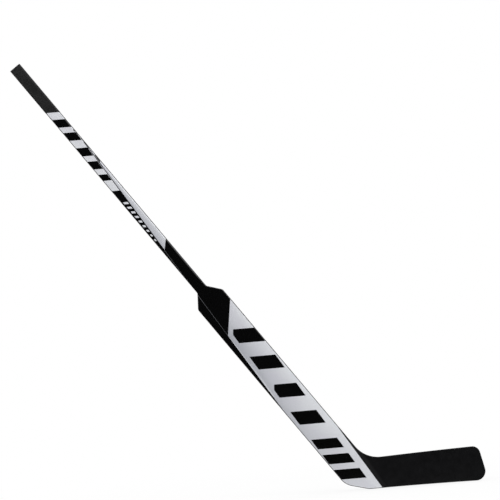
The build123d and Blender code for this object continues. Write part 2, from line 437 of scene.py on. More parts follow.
@dataclass(frozen=True)
class Livery:
    """Bands, bars and pinstripes that are sprayed over the black base.

    The long edge of the silver band leans a little against the centre line. Bars lie parallel to the
    ice, and their short sides lie parallel to that long edge.
    """

    plan: StickPlan
    grip_edge: float
    long_edge_offset: float = -59.78
    long_edge_lean: float = 0.0615
    column: Point = (12.0, 71.0)
    beyond: float = -60.0
    chamfer: float = 15.0
    paddle_bars: tuple[Point, ...] = (
        (452.0, 414.0),
        (376.0, 340.0),
        (297.0, 261.0),
        (221.0, 185.0),
        (143.0, 116.0),
        (100.0, 74.0),
        (58.0, 31.0),
    )
    chamfered: tuple[int, ...] = (0, 2)
    shaft_bars: tuple[Point, ...] = (
        (1045.0, 1023.0),
        (1008.0, 986.0),
        (965.0, 942.0),
        (927.0, 905.0),
        (890.0, 873.0),
    )
    dashes: tuple[Point, ...] = ((1235.0, 1225.0), (1192.0, 1167.0), (1146.0, 1120.0))
    slits: int = 9
    slit_top: float = 812.0
    slit_pitch: float = 13.0
    slit_height: float = 5.5
    slit_ends: Point = (-12.7, -2.0)
    slit_lean: float = 0.95

    def at(self, station: float, offset: float) -> Point:
        """Front-view point at a station and an offset."""
        return tuple(self.plan.at(station, offset))

    def beside(self, station: float, offset: float = 0.0) -> Point:
        """Point beside the silver band's long edge at a station."""
        return self.at(station, self.long_edge_offset + self.long_edge_lean * station + offset)

    def level(self, height: float, offset: float = 0.0) -> Point:
        """Point beside the silver band's long edge at a height above the ice.

        Args:
            height: Height above the ice.
            offset: Distance from the long edge towards the toe.

        Returns:
            Front-view point.
        """
        up, across = self.plan.up[1], self.plan.across[1]
        shift = self.long_edge_offset + offset
        return self.beside((height - shift * across) / (up + self.long_edge_lean * across), offset)

    def bar(self, top: float, foot: float, low: float, high: float) -> list[Point]:
        """Corners of a bar between two heights and two distances from the long edge."""
        return [self.level(top, low), self.level(foot, low), self.level(foot, high), self.level(top, high)]

    def chamfered_bar(self, top: float, foot: float) -> list[Point]:
        """Corners of a paddle bar whose upper corner on the heel side is cut off upright."""
        corner = self.level(top - self.chamfer, self.column[0])
        upper = (corner[0] + 0.08 * self.chamfer, top)
        return [upper, corner, *self.bar(top, foot, *self.column)[1:]]

    def dash(self, high: float, low: float) -> list[Point]:
        """Corners of a slender dash beside the shaft's toe-side edge, between two stations."""
        places = ((high + 4, 1.0), (high - 3, -3.4), (low, -4.6), (low + 7, 1.0))
        return [self.at(station, self.plan.shaft_half_width + shift) for station, shift in places]

    def slit(self, index: int) -> list[Point]:
        """Corners of one of the short slits on the black strip beside the shaft's silver band."""
        height = self.slit_top - self.slit_pitch * index
        near, far = self.slit_ends
        return self.bar(height, height - self.slit_height, near + self.slit_lean * index, far)

    def stripe(self, low: float, high: float, thin: float, thick: float) -> list[Point]:
        """Corners of a stripe along the silver band's long edge.

        Args:
            low: Station of its lower end.
            high: Station of its upper end.
            thin: Half of its width at the lower end.
            thick: Half of its width at the upper end.

        Returns:
            Front-view points.
        """
        places = ((high, -thick), (low, -thin), (low, thin), (high, thick))
        return [self.beside(station, offset) for station, offset in places]

    def shapes(self) -> list[PaintedShape]:
        """All masked shapes, from the lowest layer to the top one.

        Returns:
            The shapes.
        """
        plan, at, beside, level = self.plan, self.at, self.beside, self.level
        foot, head = (
            tuple(plan.step_start + (station - plan.step) * plan.along_step) for station in (-90, 290)
        )
        top, block = self.grip_edge + 4.0, 844.0
        silver = [
            [at(633.6, 52.0), beside(552.0), beside(200.0), at(-60.0, -90.0), foot, head, at(300.0, 60.0)],
            [level(top), beside(833.0), at(863.0, 22.0), at(1400.0, 40.0)],
            [level(top), level(top, self.beyond), level(block, self.beyond), level(block)],
        ]
        black = [
            self.chamfered_bar(*bar) if index in self.chamfered else self.bar(*bar, *self.column)
            for index, bar in enumerate(self.paddle_bars)
        ]
        black += [self.bar(*bar, self.beyond, -1.6) for bar in self.shaft_bars]
        black += [self.dash(*dash) for dash in self.dashes]
        layers = (
            (Paint.SATIN, [[foot, (500.0, -60.0), (500.0, 300.0), head]]),
            (Paint.SILVER, silver),
            (Paint.BLACK, black),
            (Paint.SILVER, [self.slit(index) for index in range(self.slits)]),
            (Paint.BLACK, [self.stripe(834.0, 1250.0, 1.0, 1.0)]),
            # Thin tapered grey lines along the long edge, where it runs through the black.
            (Paint.GREY, [self.stripe(549.5, 716.0, 0.28, 0.6), self.stripe(756.0, 833.0, 0.25, 0.45)]),
        )
        return [PaintedShape(paint, tuple(corners)) for paint, group in layers for corners in group]

    def shades(self, points: np.ndarray) -> np.ndarray:
        """How pale the silver is painted: painted shade and light, darker along the band's long edge, most
        of all by the neck, and paler towards the toe side.

        Args:
            points: Front-view points, one to a row.

        Returns:
            Shares from 0, darkest, to 1, palest.
        """
        plan = self.plan
        stations, offsets = points @ plan.up, points @ plan.across
        inward = offsets - self.long_edge_offset - self.long_edge_lean * stations
        edge = np.where(stations > plan.shoulder, plan.shaft_half_width, plan.paddle_half_width)
        width = np.maximum(edge - (offsets - inward), 8.0)
        marks = (40.0, 220.0, 400.0, 560.0, 850.0, 1050.0)
        depth = np.interp(stations, marks, (0.35, 0.66, 0.86, 0.97, 0.72, 0.6))
        palest = np.interp(stations, marks, (0.9, 1.0, 1.0, 0.97, 0.8, 0.88))
        # Painted shade and light: darkest at the long edge, palest at the toe-side edge.
        shade = palest * (1 - depth * (1 - np.clip(inward / width, 0, 1)))
        return np.where(inward < 0, 0.88, shade)


# --- Meshes -------------------------------------------------------------------------------------------
def centres(points: np.ndarray, faces: list[Face]) -> np.ndarray:
    """Middle of each face."""
    return np.array([points[list(face)].mean(axis=0) for face in faces])


def compact(faces: list[Face]) -> tuple[list[int], list[Face]]:
    """Faces with their points numbered afresh.

    Args:
        faces: Faces that may skip some points.

    Returns:
        Points that the faces use, and the same faces with just those points numbered from 0.
    """
    used = sorted({i for face in faces for i in face})
    place = {old: new for new, old in enumerate(used)}
    return used, [tuple(place[i] for i in face) for face in faces]


def shell(
    faces: list[Face], paints: list[int], count: int, bare: np.ndarray | None = None
) -> tuple[list[Face], list[int]]:
    """Faces of a shell whose lower points come after its upper ones.

    Args:
        faces: Upper faces.
        paints: Paint of each.
        count: How many upper points there are.
        bare: Which of them lie where the shell stays open, if it does anywhere.

    Returns:
        Upper faces, lower faces and a wall along every open edge, and the paint of each.
    """
    once: dict[frozenset[int], tuple[int, int, int]] = {}
    for face, paint in zip(faces, paints):
        for a, b in zip(face, face[1:] + face[:1]):
            if once.pop(frozenset((a, b)), None) is None:
                once[frozenset((a, b))] = (a, b, paint)
    kept = [edge for edge in once.values() if bare is None or not (bare[edge[0]] and bare[edge[1]])]
    lower = [tuple(i + count for i in reversed(face)) for face in faces]
    walls = [(b, a, a + count, b + count) for a, b, _ in kept]
    return faces + lower + walls, paints * 2 + [paint for _, _, paint in kept]


@dataclass
class Skin:
    """Points, normals and painted faces of a mesh in the making, in millimetres.

    Marks are values at the points that the finishes read, such as how near a rim a point lies.
    """

    points: np.ndarray
    normals: np.ndarray
    faces: list[Face]
    paints: list[int]
    marks: dict[str, np.ndarray] = field(default_factory=dict)

    def thickened(self, depth: float) -> "Skin":
        """Closed shell between this surface and one below it.

        Args:
            depth: Thickness of the shell.

        Returns:
            The shell, with a wall along every open edge.
        """
        return Skin(
            np.vstack([self.points, self.points - depth * self.normals]),
            np.vstack([self.normals, -self.normals]),
            *shell(self.faces, self.paints, len(self.points)),
            {name: np.tile(values, 2) for name, values in self.marks.items()},
        )

    def only(self, chosen: np.ndarray) -> "Skin":
        """Part of this surface, with just the points that it uses.

        Args:
            chosen: Whether each face is kept.

        Returns:
            The part.
        """
        used, faces = compact([face for face, keep in zip(self.faces, chosen) if keep])
        paints = [paint for paint, keep in zip(self.paints, chosen) if keep]
        marks = {name: values[used] for name, values in self.marks.items()}
        return Skin(self.points[used], self.normals[used], faces, paints, marks)

    def to_object(self, name: str) -> bpy.types.Object:
        """Smooth-shaded mesh object in metres, with its marks as attributes.

        Args:
            name: Name of the object.

        Returns:
            The linked object.
        """
        mesh = bpy.data.meshes.new(name)
        mesh.from_pydata((self.points * MM).tolist(), [], self.faces)
        mesh.polygons.foreach_set("material_index", self.paints)
        mesh.shade_smooth()
        for mark, values in self.marks.items():
            layer = mesh.attributes.new(mark, "FLOAT", "POINT")
            layer.data.foreach_set("value", values.astype(np.float32))
        mesh.normals_split_custom_set_from_vertices(self.normals.tolist())
        mesh.update()
        piece = bpy.data.objects.new(name, mesh)
        bpy.context.scene.collection.objects.link(piece)
        return piece


@dataclass
class PaintCoats:
    """The three coats of paint, cut from one surface that follows the whole outer form."""

    form: OuterForm
    livery: Livery
    thickness: float = 0.15
    spacing: float = 5.5
    fill: float = 7.0
    fill_columns: Point = (-860.0, 320.0)
    fill_rows: Point = (0.0, 1210.0)
    fill_depth: float = 7.5
    mask_gap: float = 2.0
    butt_gap: float = 3.0
    step_gaps: Point = (4.0, 5.0)
    step_reach: Point = (-330.0, 90.0)
    neck_reach: Point = (-25.0, 25.0)
    # Outer rim band painted black: the black sides, and painted shade along the rounded edges.
    black_edge_and_shade_band: float = 1.8
    rim_band: float = 3.0
    paddle_rings: tuple[float, ...] = (0.0, 0.02, 0.09, 0.2, 0.36, 0.5625, 0.78, 1.0, 1.4)
    shaft_rings: tuple[float, ...] = (0.0, 0.012, 0.05, 0.12, 0.22, 0.3462, 0.6, 1.0, 1.2)

    def rings(self) -> list[np.ndarray]:
        """Lines of front-view points that follow the outline at growing depths.

        Returns:
            The lines, from the outermost inwards.
        """
        points, outward = self.form.outline.walk(self.spacing)
        stations = self.form.plan.stations(points)
        fade = ease(self.form.plan.neck_share(stations))
        radii = self.form.rim_radii(stations)
        lines = []
        for low, high in zip(self.paddle_rings, self.shaft_rings):
            depth = radii * (low + (high - low) * fade) - self.form.coat
            lines.append(points - outward * depth[:, None])
        return lines

    def fillers(self, shapes: list[PaintedShape]) -> list[Point]:
        """Even spread of front-view points between the rings and away from the masked edges.

        Args:
            shapes: Masked shapes.

        Returns:
            The points.
        """
        plan = self.form.plan
        columns = np.arange(*self.fill_columns, self.fill)
        rows = np.arange(*self.fill_rows, self.fill * 0.866)
        grid = np.array([(x + j % 2 * self.fill / 2, z) for j, z in enumerate(rows) for x in columns])
        depth, _ = self.form.outline.depths(grid)
        past = plan.beyond_step(grid)
        off_step = (past < -self.step_gaps[0]) | (past > plan.step_run + self.step_gaps[1])
        below = plan.stations(grid) < plan.butt - self.butt_gap
        grid = grid[(depth > self.fill_depth) & below & off_step & np.isfinite(depth)]
        for shape in shapes:
            corners = [np.array(c) for c in shape.corners]
            for a, b in zip(corners, corners[1:] + corners[:1]):
                along = b - a
                share = np.clip(((grid - a) @ along) / (along @ along), 0, 1)
                gap = np.linalg.norm(grid - a - share[:, None] * along, axis=1)
                grid = grid[gap > self.mask_gap]
        return [tuple(point) for point in grid]

    def creases(self) -> list[list[np.ndarray]]:
        """Lines across the neck, and along the step for its eased edges.

        Returns:
            Both ends of each line.
        """
        plan = self.form.plan
        top, foot, run = plan.step_top_ease, plan.step_foot_ease, plan.step_run
        places = [-top, -top / 2, top / 2, top, 4.0, 7.5]
        places += [run + foot * share for share in (-1, -0.5, 0, 0.5, 1)]
        middles = [plan.step_start + place * plan.down_step for place in places]
        lines = [[middle + reach * plan.along_step for reach in self.step_reach] for middle in middles]
        return [*lines, [plan.at(plan.neck, offset) for offset in self.neck_reach]]

    def at_butt(self, flat: np.ndarray) -> np.ndarray:
        """Which front-view points lie on the square-cut butt end."""
        return self.form.plan.stations(flat) > self.form.plan.butt - 0.01

    def flat_pattern(self) -> tuple[np.ndarray, list[Face], list[Paint]]:
        """Front view cut into triangles along the rings, the step and every masked edge.

        Returns:
            Front-view points, triangles that turn left, and the paint of each triangle.
        """
        shapes = self.livery.shapes()
        rings = self.rings()
        points: list[Point] = []
        edges: list[tuple[int, int]] = []
        for line in [*rings, *self.creases()]:
            edges += [(len(points) + i, len(points) + i + 1) for i in range(len(line) - 1)]
            points += [tuple(point) for point in line]
        faces = [list(range(len(rings[0])))]
        for shape in shapes:
            faces.append(list(range(len(points), len(points) + len(shape.corners))))
            points += shape.corners
        points += self.fillers(shapes)
        done = delaunay_2d_cdt([Vector(p) for p in points], edges, faces, 0, 1e-4, True)
        flat = np.array([tuple(v) for v in done[0]])
        at_butt = self.at_butt(flat)
        triangles, paints = [], []
        for face, sources in zip(done[2], done[5]):
            if 0 in sources and not all(at_butt[i] for i in face):
                triangles.append(tuple(face))
                paints.append(shapes[max(sources) - 1].paint if max(sources) else Paint.BLACK)
        return flat, triangles, paints

    def surface(self) -> Skin:
        """Whole painted surface: front, back and the walls between them, open at the butt.

        Returns:
            The surface.
        """
        flat, triangles, paints = self.flat_pattern()
        used, triangles = compact(triangles)
        flat = flat[used]
        # Painted black near the outline: black side paint, widened as painted shade to darken the rounded
        # edges.
        for index, depth in enumerate(self.form.depths(centres(flat, triangles))):
            if depth < self.black_edge_and_shade_band and paints[index] is not Paint.SATIN:
                paints[index] = Paint.BLACK
        values = [paint.value for paint in paints]
        sides = [self.form.face(flat, side) for side in Side]
        rims = np.clip(1 - self.form.depths(flat) / self.rim_band, 0, 1)
        return Skin(
            np.vstack([places for places, _ in sides]),
            np.vstack([normals for _, normals in sides]),
            *shell(triangles, values, len(flat), self.at_butt(flat)),
            # The shade mark carries the silver's painted shade and light.
            {"rim": np.tile(rims, 2), "shade": np.tile(self.livery.shades(flat), 2)},
        )

    def build(self, paints: dict[Paint, bpy.types.Material]) -> None:
        """Makes the coats of the shaft, the paddle and the blade, each with its paints, body and slot.

        Args:
            paints: Material of each paint.
        """
        plan = self.form.plan
        surface = self.surface()
        middles = centres(surface.points, surface.faces)[:, [0, 2]]
        blade = plan.beyond_step(middles) > 0
        shaft = plan.stations(middles) > plan.neck
        zones = {"shaft": shaft, "paddle": ~(shaft | blade), "blade": blade}
        for name, zone in zones.items():
            coat = surface.only(zone).thickened(self.thickness).to_object(f"{name}_coat")
            for paint in Paint:
                coat.data.materials.append(paints[paint])
            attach(coat, BODY)
            LOG.info("%s: %d faces", coat.name, len(coat.data.polygons))


# --- Grip ---------------------------------------------------------------------------------------------
@dataclass
class GripSleeve:
    """Thin matte sleeve round the top of the shaft, pebbled for hold."""

    plan: StickPlan
    lower_edge: float
    inner: float = 0.22
    outer: float = 0.45
    flare: float = 0.2
    rows: int = 40
    arc_steps: int = 7
    pebble_gap: float = 1.25
    pebble_radius: float = 0.6
    pebble_height: float = 0.3
    pebble_sides: int = 6
    pebble_taper: float = 0.45
    pebble_scale: Point = (0.7, 1.15)
    pebble_density: float = 4000000.0
    seed: int = 11

    def section(self, offset: float) -> Walk:
        """Closed section of the sleeve, as offsets across and depths, with outward directions.

        Args:
            offset: Distance outside the shaft's own surface.

        Returns:
            Points and outward unit vectors.
        """
        radius = self.plan.shaft_rim
        inset = np.array([self.plan.shaft_half_width - radius, self.plan.shaft_half - radius])
        pairs = []
        for quarter, signs in enumerate(((1, 1), (-1, 1), (-1, -1), (1, -1))):
            for step in range(self.arc_steps + 1):
                angle = math.radians(90 * (quarter + step / self.arc_steps))
                arm = np.array([math.cos(angle), math.sin(angle)])
                pairs.append((signs * inset + (radius + offset) * arm, arm))
        return pairs

    def wall(self, offset: float, flare: float) -> tuple[np.ndarray, np.ndarray]:
        """Rows of section points from the lower edge to the butt.

        Args:
            offset: Distance outside the shaft's own surface.
            flare: How much nearer to the shaft the lowest row lies.

        Returns:
            Positions and normals, row by row.
        """
        plan = self.plan
        points, normals = [], []
        for share in (0.0, *np.linspace(0.006, 0.9945, self.rows - 1), 1.0):
            for (across, deep), arm in self.section(offset if share else offset - flare):
                low = (self.lower_edge - across * plan.across[1]) / plan.up[1]
                x, z = plan.at(low + (plan.butt - low) * share, across)
                points.append((x, deep, z))
                side = plan.across * arm[0]
                normals.append((side[0], arm[1], side[1]))
        return np.array(points), np.array(normals)

    def blank(self) -> bpy.types.Object:
        """Plain closed sleeve, whose outer faces are marked for the pebbles, all but a rim at the butt.

        Returns:
            The sleeve.
        """
        outer, outer_normals = self.wall(self.outer, self.flare)
        inner, inner_normals = self.wall(self.inner, 0.0)
        ring = 4 * (self.arc_steps + 1)
        faces = []
        for row in range(0, self.rows * ring, ring):
            for i in range(ring):
                a, b = row + i, row + (i + 1) % ring
                faces.append((a, b, b + ring, a + ring))
        marked = len(faces) - ring
        faces, paints = shell(faces, [0] * len(faces), len(outer))
        normals = np.vstack([outer_normals, -inner_normals])
        sleeve = Skin(np.vstack([outer, inner]), normals, faces, paints).to_object("grip")
        mark = sleeve.data.attributes.new("pebbled", "BOOLEAN", "FACE")
        mark.data.foreach_set("value", [i < marked for i in range(len(faces))])
        return sleeve

    def pebble_tree(self) -> bpy.types.GeometryNodeTree:
        """Geometry nodes that scatter low pebbles over the marked faces and join them to the sleeve.

        Returns:
            The node tree.
        """
        names = "Sleeve Gap Radius Height Seed Material"
        sheet, given, out = new_group("pebbled_sleeve", names, "Grip", "GeometryNodeTree")
        marked = sheet.add("GeometryNodeInputNamedAttribute", {"Name": "pebbled"}, data_type="BOOLEAN")
        feeds = {
            "Mesh": given["Sleeve"],
            "Selection": marked.outputs["Attribute"],
            "Distance Min": given["Gap"],
            "Density Max": self.pebble_density,
            "Seed": given["Seed"],
        }
        scatter = sheet.add("GeometryNodeDistributePointsOnFaces", feeds, distribute_method="POISSON")
        top = sheet.maths("MULTIPLY", given["Radius"], self.pebble_taper)
        feeds = {"Radius Bottom": given["Radius"], "Radius Top": top, "Depth": given["Height"]}
        pebble = sheet.add("GeometryNodeMeshCone", {"Vertices": self.pebble_sides, **feeds})
        feeds = {2: self.pebble_scale[0], 3: self.pebble_scale[1], "Seed": given["Seed"]}
        size = sheet.add("FunctionNodeRandomValue", feeds, data_type="FLOAT")
        feeds = {
            "Points": scatter.outputs["Points"],
            "Instance": pebble.outputs["Mesh"],
            "Rotation": scatter.outputs["Rotation"],
            "Scale": size.outputs[1],
        }
        pebbles = sheet.add("GeometryNodeInstanceOnPoints", feeds).outputs["Instances"]
        for kind in ("GeometryNodeRealizeInstances", "GeometryNodeSetShadeSmooth"):
            pebbles = sheet.add(kind, {"Geometry": pebbles}).outputs["Geometry"]
        both = sheet.add("GeometryNodeJoinGeometry", {"Geometry": pebbles})
        sheet.feed(both, {"Geometry": given["Sleeve"]})
        feeds = {"Geometry": both.outputs["Geometry"], "Material": given["Material"]}
        sheet.feed(out, {"Grip": sheet.add("GeometryNodeSetMaterial", feeds).outputs["Geometry"]})
        return sheet.tree

    def build(self, material: bpy.types.Material) -> None:
        """Makes the pebbled sleeve as one plain mesh.

        Args:
            material: Finish of the sleeve.
        """
        sleeve = self.blank()
        modifier = sleeve.modifiers.new("pebbles", "NODES")
        modifier.node_group = self.pebble_tree()
        values = {
            "Gap": self.pebble_gap * MM,
            "Radius": self.pebble_radius * MM,
            "Height": self.pebble_height * MM,
            "Seed": self.seed,
            "Material": material,
        }
        for item in modifier.node_group.interface.items_tree:
            if item.name in values:
                modifier[item.identifier] = values[item.name]
        bpy.context.view_layer.update()
        graph = bpy.context.evaluated_depsgraph_get()
        mesh = bpy.data.meshes.new_from_object(sleeve.evaluated_get(graph))
        sleeve.modifiers.remove(modifier)
        sleeve.data = mesh
        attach(sleeve, BODY)
        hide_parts("grip_sleeve")
        LOG.info("grip: %d faces", len(mesh.polygons))


# --- Nodes --------------------------------------------------------------------------------------------
SOCKET_KINDS = {
    "Place": "Vector",
    "Early": "Color",
    "Late": "Color",
    "Colour": "Color",
    "Sleeve": "Geometry",
    "Grip": "Geometry",
    "Seed": "Int",
    "Material": "Material",
}


class NodeSheet:
    """A node tree with short calls that add nodes and feed their inputs."""

    def __init__(self, tree: bpy.types.NodeTree) -> None:
        """Starts on a tree."""
        self.tree = tree

    def feed(self, node: bpy.types.Node, feeds: Feeds) -> None:
        """Links or sets inputs of a node.

        Args:
            node: Node to feed.
            feeds: Output, number, text or colour for each input, by name or number.
        """
        for key, value in feeds.items():
            socket = node.inputs[key]
            if isinstance(value, Socket):
                self.tree.links.new(value, socket)
            else:
                socket.default_value = (*value, 1.0) if socket.type == "RGBA" else value

    def add(self, kind: str, feeds: Feeds | None = None, **settings: object) -> bpy.types.Node:
        """Adds a node.

        Args:
            kind: Kind of node.
            feeds: What its inputs get, by name or number.
            **settings: Its properties.

        Returns:
            The node.
        """
        node = self.tree.nodes.new(kind)
        for name, value in settings.items():
            setattr(node, name, value)
        self.feed(node, feeds or {})
        return node

    def maths(self, operation: str, *values: Feed) -> Socket:
        """Result of a sum on values or numbers."""
        return self.add("ShaderNodeMath", dict(enumerate(values)), operation=operation).outputs[0]

    def mark(self, name: str) -> Socket:
        """Value that a mesh holds at its points."""
        return self.add("ShaderNodeAttribute", attribute_name=name).outputs["Fac"]

    def stretch(self, place: Socket, scale: Triple) -> Socket:
        """Coordinates stretched along each axis."""
        return self.add("ShaderNodeMapping", {"Scale": scale, "Vector": place}).outputs["Vector"]

    def turn(self, place: Socket, rotation: Triple, location: Triple = (0, 0, 0)) -> Socket:
        """Coordinates turned about each axis and moved."""
        feeds = {"Rotation": rotation, "Location": location, "Vector": place}
        return self.add("ShaderNodeMapping", feeds).outputs["Vector"]

    def noise(self, place: Socket, scale: Feed, detail: float = 2.0) -> Socket:
        """Soft random value over coordinates."""
        feeds = {"Scale": scale, "Detail": detail, "Vector": place}
        return self.add("ShaderNodeTexNoise", feeds).outputs["Fac"]

    def span(self, value: Socket, low: float, high: float, to_low: float, to_high: float) -> Socket:
        """Value carried from one range to another, and held at its ends."""
        feeds = {"Value": value, "From Min": low, "From Max": high, "To Min": to_low, "To Max": to_high}
        return self.add("ShaderNodeMapRange", feeds).outputs["Result"]

    def blend(self, share: Socket, first: Feed, second: Feed) -> Socket:
        """Colour between two colours, each given or an output."""
        feeds = {0: share, 6: first, 7: second}
        return self.add("ShaderNodeMix", feeds, data_type="RGBA").outputs[2]

    def bump(self, height: Socket, depth: float) -> Socket:
        """Normal raised by a height, whose full depth is in metres."""
        feeds = {"Strength": 1.0, "Distance": depth, "Height": height}
        return self.add("ShaderNodeBump", feeds).outputs["Normal"]

    def mix(self, share: Feed, first: Socket, second: Socket) -> Socket:
        """Shader between two shaders."""
        return self.add("ShaderNodeMixShader", {0: share, 1: first, 2: second}).outputs[0]

    def by_ray(self, seen: Socket, mirrored: Socket, cast: Socket) -> Socket:
        """Shader that depends on what looks at it.

        Args:
            seen: Shader for the camera.
            mirrored: Shader for glossy and transmitted rays.
            cast: Shader for all other rays, which light the stick.

        Returns:
            Output that gives the shader.
        """
        path = self.add("ShaderNodeLightPath").outputs
        bounced = self.maths("MAXIMUM", path["Is Glossy Ray"], path["Is Transmission Ray"])
        return self.mix(path["Is Camera Ray"], self.mix(bounced, cast, mirrored), seen)


def new_group(
    name: str, inputs: str, outputs: str, kind: str = "ShaderNodeTree"
) -> tuple[NodeSheet, bpy.types.NodeOutputs, bpy.types.Node]:
    """Empty node group with named sockets.

    Args:
        name: Name of the group.
        inputs: Names of its inputs, apart by spaces; a name that isn't in SOCKET_KINDS is a value.
        outputs: Names of its outputs, in the same way.
        kind: Kind of node tree.

    Returns:
        The group's sheet, the outputs of its input node, and its output node.
    """
    group = bpy.data.node_groups.new(name, kind)
    for names, way in ((inputs, "INPUT"), (outputs, "OUTPUT")):
        for title in names.split():
            socket = f"NodeSocket{SOCKET_KINDS.get(title, 'Float')}"
            group.interface.new_socket(title, in_out=way, socket_type=socket)
    sheet = NodeSheet(group)
    return sheet, sheet.add("NodeGroupInput").outputs, sheet.add("NodeGroupOutput")


class Effects:
    """Shader groups that several finishes share."""

    def __init__(self, plan: StickPlan) -> None:
        """Builds every group once."""
        self.plan = plan
        self.rub = self._rub()
        self.peel = self._peel()
        self.grain = self._grain()
        self.weave = self._weave()

    def _rub(self) -> bpy.types.NodeTree:
        """Handled paint: roughness with soft clouds, lines along the stick and duller rims, and dust.

        Returns:
            The group.
        """
        sheet, given, out = new_group("handled_paint", "Place Smooth Spread", "Roughness Dust")
        clouds = sheet.noise(given["Place"], 26.0, 4.0)
        lines = sheet.noise(sheet.stretch(given["Place"], (30, 900, 900)), 1.0, 3.0)
        lines = sheet.span(lines, 0.55, 0.8, 0.0, 1.0)
        mottle = sheet.maths("ADD", sheet.span(clouds, 0.3, 0.7, -0.5, 0.5), lines)
        mottle = sheet.maths("ADD", mottle, sheet.maths("MULTIPLY", sheet.mark("rim"), 0.8))
        spread = sheet.maths("MULTIPLY", mottle, given["Spread"])
        specks = sheet.span(sheet.noise(given["Place"], 700.0, 1.0), 0.68, 0.8, 0, 1)
        dust = sheet.maths("MULTIPLY", specks, clouds)
        sheet.feed(out, {"Roughness": sheet.maths("ADD", spread, given["Smooth"]), "Dust": dust})
        return sheet.tree

    def _peel(self) -> bpy.types.NodeTree:
        """Height of a sprayed surface: a faint ripple like the skin of an orange."""
        sheet, given, out = new_group("spray_ripple", "Place Scale", "Height")
        sheet.feed(out, {"Height": sheet.noise(given["Place"], given["Scale"])})
        return sheet.tree

    def _grain(self) -> bpy.types.NodeTree:
        """Timber: growth rings round an axis, fine pores along it, and the height that they leave.

        Returns:
            The group.
        """
        sheet, given, out = new_group("timber_grain", "Place Early Late Rings", "Colour Height Roughness")
        feeds = {
            "Vector": sheet.stretch(given["Place"], (0.06, 1, 1)),
            "Scale": given["Rings"],
            "Distortion": 3.0,
            "Detail": 3.0,
            "Detail Scale": 1.3,
        }
        rings = sheet.add("ShaderNodeTexWave", feeds, wave_type="RINGS", rings_direction="X")
        pores = sheet.noise(sheet.stretch(given["Place"], (45, 1500, 1500)), 1.0, 3.0)
        pores = sheet.span(pores, 0.5, 0.75, 0.0, 1.0)
        late = sheet.span(rings.outputs["Fac"], 0.35, 1.0, 0.0, 0.75)
        late = sheet.maths("ADD", late, sheet.maths("MULTIPLY", pores, 0.3))
        made = {
            "Colour": sheet.blend(late, given["Early"], given["Late"]),
            "Height": sheet.maths("MULTIPLY", pores, -1.0),
            "Roughness": sheet.span(late, 0, 1, 0.62, 0.48),
        }
        sheet.feed(out, made)
        return sheet.tree

    def _weave(self) -> bpy.types.NodeTree:
        """Woven cloth in resin: tows that cross at right angles, as a height and a tone.

        Returns:
            The group.
        """
        sheet, given, out = new_group("woven_cloth", "Place Scale", "Height Tone")
        tows = []
        for angle in (45, -45):
            turned = sheet.turn(given["Place"], (0, math.radians(angle), 0))
            feeds = {"Vector": turned, "Scale": given["Scale"], "Distortion": 0.0}
            wave = sheet.add("ShaderNodeTexWave", feeds, wave_type="BANDS", bands_direction="X")
            tows.append(wave.outputs["Fac"])
        crossed = sheet.maths("MULTIPLY", *tows)
        cloud = sheet.noise(given["Place"], 60.0, 3.0)
        sheet.feed(out, {"Height": crossed, "Tone": sheet.maths("MULTIPLY", crossed, cloud)})
        return sheet.tree


# --- Finishes -----------------------------------------------------------------------------------------
class Bench:
    """What a finish is built with: its sheet, the shared effects, and the stick's own coordinates."""

    def __init__(self, tree: bpy.types.NodeTree, effects: Effects) -> None:
        """Lays out the coordinates so that x runs up the stick and y through it."""
        self.sheet = NodeSheet(tree)
        self.effects = effects
        source = self.sheet.add("ShaderNodeTexCoord").outputs["Object"]
        self.place = self.sheet.turn(source, (0, math.pi - effects.plan.lie, 0))

    def use(self, group: bpy.types.NodeTree, **feeds: Feed) -> bpy.types.NodeOutputs:
        """Outputs of a shared effect that is placed on the sheet with its own values."""
        return self.sheet.add("ShaderNodeGroup", {"Place": self.place, **feeds}, node_tree=group).outputs

    def sprayed(self, smooth: float, spread: float, scale: float, ripple: float) -> tuple[Socket, Feeds]:
        """Dust, and the roughness and the normal of a sprayed and handled surface.

        Args:
            smooth: Roughness of its smoothest part.
            spread: How much rougher it gets.
            scale: Fineness of the spray's ripple.
            ripple: Height of the ripple in metres.

        Returns:
            Output that gives the dust, and the main shader's feeds.
        """
        rub = self.use(self.effects.rub, Smooth=smooth, Spread=spread)
        peel = self.use(self.effects.peel, Scale=scale)
        normal = self.sheet.bump(peel["Height"], ripple)
        return rub["Dust"], {"Roughness": rub["Roughness"], "Normal": normal}


@dataclass(frozen=True)
class Finish:
    """What every finish has: a name for its material, and feeds for its main shader."""

    name: str

    def feeds(self, bench: Bench) -> Feeds:
        """What the main shader's inputs get, by name."""
        raise NotImplementedError

    def material(self, effects: Effects) -> bpy.types.Material:
        """Builds the material.

        Args:
            effects: The shared effects.

        Returns:
            The material.
        """
        material = bpy.data.materials.new(self.name)
        material.use_nodes = True
        bench = Bench(material.node_tree, effects)
        bench.sheet.feed(material.node_tree.nodes["Principled BSDF"], self.feeds(bench))
        return material


